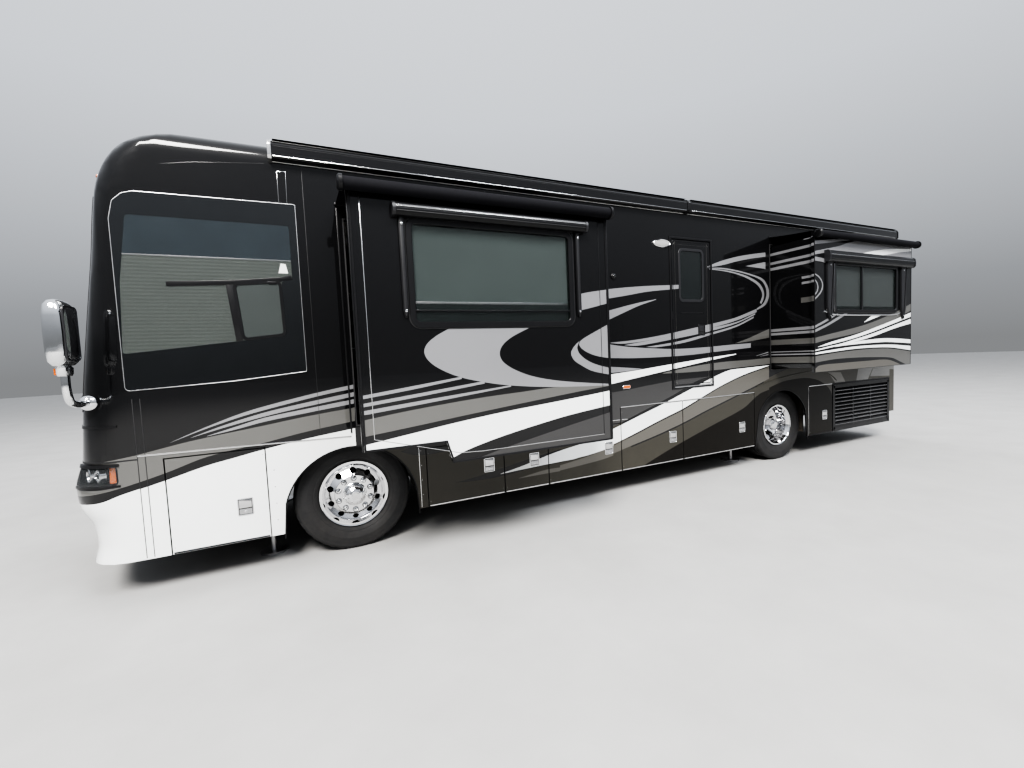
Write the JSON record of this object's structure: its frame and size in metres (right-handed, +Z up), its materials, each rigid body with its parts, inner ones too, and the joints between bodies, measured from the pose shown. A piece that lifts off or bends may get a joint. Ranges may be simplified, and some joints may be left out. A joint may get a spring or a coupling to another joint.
{
  "type": "class A diesel pusher motorhome",
  "caption": "Rear-engined class A coach with room slide-outs, hinged doors and bay hatches, steered front wheels, twin rear wheels and levelling jacks.",
  "frame": {"origin": "on the ground under the middle of the coach's overall box", "axes": "+X forward along the coach, +Y to the driver's left side, +Z up"},
  "size_m": [10.978, 3.797, 3.908],
  "materials": {
    "tyre": "matt rubber with tread blocks",
    "dark_glass": "tinted privacy glass",
    "polished_aluminium": "polished forged aluminium",
    "chassis_black": "satin chassis black",
    "cast_engine": "painted cast iron",
    "bright_steel": "zinc plated steel",
    "chrome": "chrome plated",
    "lamp_lens": "clear and amber lens",
    "cab_plastic": "grained dark plastic",
    "seat_leather": "taupe leather",
    "floor_board": "vinyl plank",
    "roof_plastic": "black shroud",
    "awning_black": "gloss black powder coat",
    "step_aluminium": "ribbed aluminium",
    "roof_white": "white fibreglass roof skin",
    "paint_white": "gloss clear-coated white",
    "paint_taupe": "metallic taupe clear coat",
    "paint_black": "gloss clear-coated black with painted stripes",
    "stripe_silver": "metallic silver stripe",
    "stripe_grey": "metallic grey stripe",
    "trim_chrome": "bright trim",
    "fabric_shade": "woven solar shade",
    "fabric_topper": "coated awning fabric",
    "rubber_seal": "bulb seal",
    "amber_lens": "amber lens",
    "red_lens": "red lens",
    "mirror_face": "mirror glass"
  },
  "bodies": {
    "root": {"basement_pan": "chassis_black", "cab_seats": "seat_leather", "chassis_frame": "chassis_black", "dashboard": "cab_plastic", "engine_block": "cast_engine", "front_axle": "chassis_black", "front_bumper": "paint_white", "front_cap": "paint_black", "house_floor": "floor_board", "lamps": "lamp_lens", "left_side_wall": "paint_black", "levelling_jacks": "bright_steel", "mirrors": "chrome", "rear_axle": "chassis_black", "rear_cap": "paint_black", "right_side_wall": "paint_black", "roof": "roof_white", "roof_air_conditioners": "roof_plastic", "roof_edge_awnings": "awning_black", "side_windows": "dark_glass", "wheel_housings": "chassis_black", "windshield": "dark_glass"},
    "left_knuckle": {"left_knuckle": "chassis_black"},
    "right_knuckle": {"right_knuckle": "chassis_black"},
    "front_left_wheel": {"front_left_tyre": "tyre", "front_left_rim": "polished_aluminium"},
    "front_right_wheel": {"front_right_tyre": "tyre", "front_right_rim": "polished_aluminium"},
    "rear_left_wheels": {"rear_left_tyres": "tyre", "rear_left_rims": "polished_aluminium"},
    "rear_right_wheels": {"rear_right_tyres": "tyre", "rear_right_rims": "polished_aluminium"},
    "steering_wheel": {"steering_wheel": "cab_plastic"},
    "front_slide": {"front_slide_box": "paint_black", "front_slide_window": "dark_glass", "front_slide_awnings": "awning_black"},
    "rear_slide": {"rear_slide_box": "paint_black", "rear_slide_window": "dark_glass", "rear_slide_awnings": "awning_black"},
    "entry_door": {"entry_door": "paint_black", "entry_door_glass": "dark_glass"},
    "egress_door": {"egress_door": "paint_black", "egress_door_glass": "dark_glass"},
    "entry_step": {"entry_step": "step_aluminium"},
    "engine_door": {"engine_door": "paint_black"},
    "front_service_door": {"front_service_door": "paint_white"},
    "left_bay_door_1": {"left_bay_door_1": "paint_taupe"},
    "left_bay_door_2": {"left_bay_door_2": "paint_taupe"},
    "left_bay_door_3": {"left_bay_door_3": "paint_taupe"},
    "left_bay_door_4": {"left_bay_door_4": "paint_taupe"},
    "left_bay_door_5": {"left_bay_door_5": "paint_taupe"},
    "left_rear_door": {"left_rear_door": "paint_taupe"},
    "radiator_door": {"radiator_door": "paint_black"},
    "right_bay_door_1": {"right_bay_door_1": "paint_taupe"},
    "right_bay_door_2": {"right_bay_door_2": "paint_taupe"},
    "right_bay_door_3": {"right_bay_door_3": "paint_taupe"},
    "right_rear_door": {"right_rear_door": "paint_taupe"}
  },
  "joints": [
    {"name": "left_steer", "type": "hinge", "parent": "root", "child": "left_knuckle", "pos_m": [3.39, 0.675, 0.503], "axis": [0, 0, 1], "range_deg": [-35, 35]},
    {"name": "right_steer", "type": "hinge", "parent": "root", "child": "right_knuckle", "pos_m": [3.39, -1.185, 0.503], "axis": [0, 0, 1], "range_deg": [-35, 35]},
    {"name": "front_left_spin", "type": "hinge", "parent": "left_knuckle", "child": "front_left_wheel", "pos_m": [3.39, 0.8, 0.503], "axis": [0, 1, 0], "continuous": true},
    {"name": "front_right_spin", "type": "hinge", "parent": "right_knuckle", "child": "front_right_wheel", "pos_m": [3.39, -1.31, 0.503], "axis": [0, 1, 0], "continuous": true},
    {"name": "rear_left_spin", "type": "hinge", "parent": "root", "child": "rear_left_wheels", "pos_m": [-2.515, 0.628, 0.503], "axis": [0, 1, 0], "continuous": true},
    {"name": "rear_right_spin", "type": "hinge", "parent": "root", "child": "rear_right_wheels", "pos_m": [-2.515, -1.138, 0.503], "axis": [0, 1, 0], "continuous": true},
    {"name": "steering_wheel_turn", "type": "hinge", "parent": "root", "child": "steering_wheel", "pos_m": [4.375, 0.405, 1.705], "axis": [-0.6198, 0, 0.7848], "range_deg": [-525, 525]},
    {"name": "front_slide_travel", "type": "slide", "parent": "root", "child": "front_slide", "axis": [0, 1, 0], "range_m": [-0.7, 0]},
    {"name": "rear_slide_travel", "type": "slide", "parent": "root", "child": "rear_slide", "axis": [0, 1, 0], "range_m": [-0.555, 0]},
    {"name": "entry_step_travel", "type": "slide", "parent": "root", "child": "entry_step", "axis": [0, -1, 0], "range_m": [0, 0.28]},
    {"name": "front_service_door_hinge", "type": "hinge", "parent": "root", "child": "front_service_door", "pos_m": [4.731, 1.04, 0.6], "axis": [0, 0, -1], "range_deg": [0, 90]},
    {"name": "left_bay_door_1_hinge", "type": "hinge", "parent": "root", "child": "left_bay_door_1", "pos_m": [2.736, 1.04, 0.6], "axis": [0, 0, -1], "range_deg": [0, 90]},
    {"name": "left_bay_door_2_hinge", "type": "hinge", "parent": "root", "child": "left_bay_door_2", "pos_m": [1.936, 1.04, 0.6], "axis": [0, 0, -1], "range_deg": [0, 90]},
    {"name": "left_bay_door_3_hinge", "type": "hinge", "parent": "root", "child": "left_bay_door_3", "pos_m": [1.416, 1.04, 0.6], "axis": [0, 0, -1], "range_deg": [0, 90]},
    {"name": "left_bay_door_4_hinge", "type": "hinge", "parent": "root", "child": "left_bay_door_4", "pos_m": [0.436, 1.04, 0.6], "axis": [0, 0, -1], "range_deg": [0, 90]},
    {"name": "left_bay_door_5_hinge", "type": "hinge", "parent": "root", "child": "left_bay_door_5", "pos_m": [-0.534, 1.04, 0.6], "axis": [0, 0, -1], "range_deg": [0, 90]},
    {"name": "left_rear_door_hinge", "type": "hinge", "parent": "root", "child": "left_rear_door", "pos_m": [-3.074, 1.04, 0.6], "axis": [0, 0, -1], "range_deg": [0, 90]},
    {"name": "radiator_door_hinge", "type": "hinge", "parent": "root", "child": "radiator_door", "pos_m": [-3.654, 1.04, 0.6], "axis": [0, 0, -1], "range_deg": [0, 90]},
    {"name": "right_bay_door_1_hinge", "type": "hinge", "parent": "root", "child": "right_bay_door_1", "pos_m": [2.736, -1.55, 0.6], "axis": [0, 0, 1], "range_deg": [0, 90]},
    {"name": "right_bay_door_2_hinge", "type": "hinge", "parent": "root", "child": "right_bay_door_2", "pos_m": [1.086, -1.55, 0.6], "axis": [0, 0, 1], "range_deg": [0, 90]},
    {"name": "right_bay_door_3_hinge", "type": "hinge", "parent": "root", "child": "right_bay_door_3", "pos_m": [-0.564, -1.55, 0.6], "axis": [0, 0, 1], "range_deg": [0, 90]},
    {"name": "right_rear_door_hinge", "type": "hinge", "parent": "root", "child": "right_rear_door", "pos_m": [-3.074, -1.55, 0.6], "axis": [0, 0, 1], "range_deg": [0, 90]},
    {"name": "egress_door_hinge", "type": "hinge", "parent": "root", "child": "egress_door", "pos_m": [-0.4, 1.04, 2.1], "axis": [0, 0, -1], "range_deg": [0, 100]},
    {"name": "entry_door_hinge", "type": "hinge", "parent": "root", "child": "entry_door", "pos_m": [4.778, -1.55, 1.6], "axis": [0, 0, 1], "range_deg": [0, 95]},
    {"name": "engine_door_hinge", "type": "hinge", "parent": "root", "child": "engine_door", "pos_m": [-5.47, -0.255, 1.18], "axis": [0, 1, 0], "range_deg": [0, 80]}
  ],
  "couplings": [
    {"joint": "right_steer", "follows": "left_steer", "ratio": 1},
    {"joint": "steering_wheel_turn", "follows": "left_steer", "ratio": 15}
  ]
}
